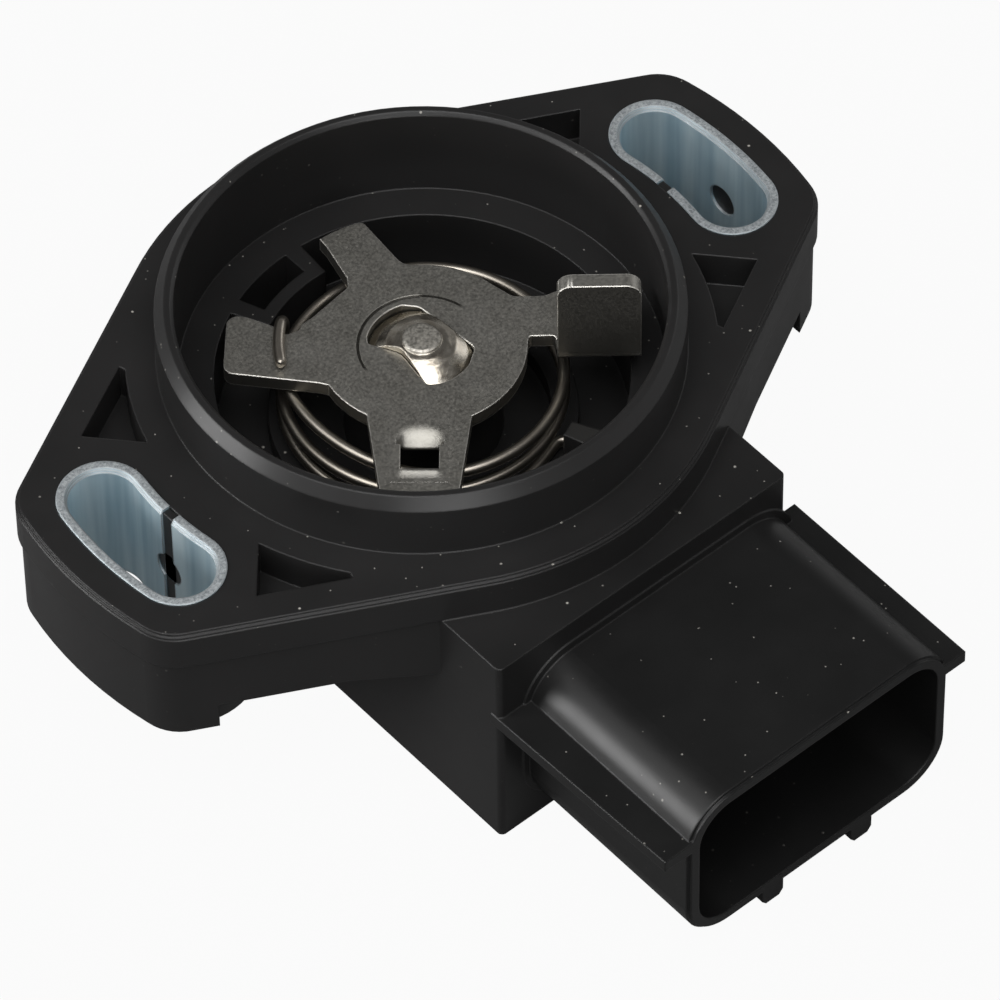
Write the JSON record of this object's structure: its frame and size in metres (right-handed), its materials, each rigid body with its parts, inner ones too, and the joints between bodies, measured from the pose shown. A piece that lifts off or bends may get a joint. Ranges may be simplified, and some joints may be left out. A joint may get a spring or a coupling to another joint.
{
  "type": "throttle position sensor",
  "caption": "Throttle position sensor: two-eared flange with steel-bushed arc slots, locating ring, sprung drive lever on a rotor shaft, and a side connector.",
  "frame": {"origin": "on the rotor axis, in the plane of the flange's mounting face", "axes": "+Z along the rotor axis, out of the mounting face towards the throttle body; +X from the left slot to the right slot; -Y towards the connector's mouth"},
  "size_m": [0.0714, 0.0702, 0.0333],
  "materials": {
    "black_plastic": "satin moulded glass-filled polyester",
    "plated_steel": "zinc plated",
    "lever_steel": "satin pressed sheet",
    "bright_steel": "polished",
    "spring_steel": "drawn wire",
    "bronze": "sintered, oiled",
    "rubber": "matt",
    "white_plastic": "matt acetal",
    "copper_alloy": "bright strip",
    "tinned_copper": "tin plated",
    "board_green": "coated laminate",
    "carbon_ink": "matt printed ink",
    "silver_ink": "matt printed ink"
  },
  "bodies": {
    "body": {"housing": "black_plastic", "bush_left": "plated_steel", "bush_right": "plated_steel", "return_spring": "spring_steel", "shaft_bearing": "bronze", "shaft_seal": "rubber", "resistor_board": "board_green", "resistor_track": "carbon_ink", "collector_track": "silver_ink", "terminal_left": "tinned_copper", "terminal_middle": "tinned_copper", "terminal_right": "tinned_copper", "contact_clips": "copper_alloy", "cover_gasket": "rubber", "back_cover": "black_plastic"},
    "rotor": {"lever_plate": "lever_steel", "rotor_shaft": "bright_steel", "thrust_washer": "white_plastic", "wave_washer": "bright_steel", "retaining_ring": "bright_steel", "wiper_carrier": "white_plastic", "outer_wiper": "copper_alloy", "inner_wiper": "copper_alloy"}
  },
  "joints": [
    {"name": "rotor_turn", "type": "hinge", "parent": "body", "child": "rotor", "pos_m": [0, 0, 0], "axis": [0, 0, -1], "range_deg": [0, 95], "stiffness_Nm_per_rad": 0.03, "springref_deg": -40.11, "deforming": ["return_spring"]}
  ]
}
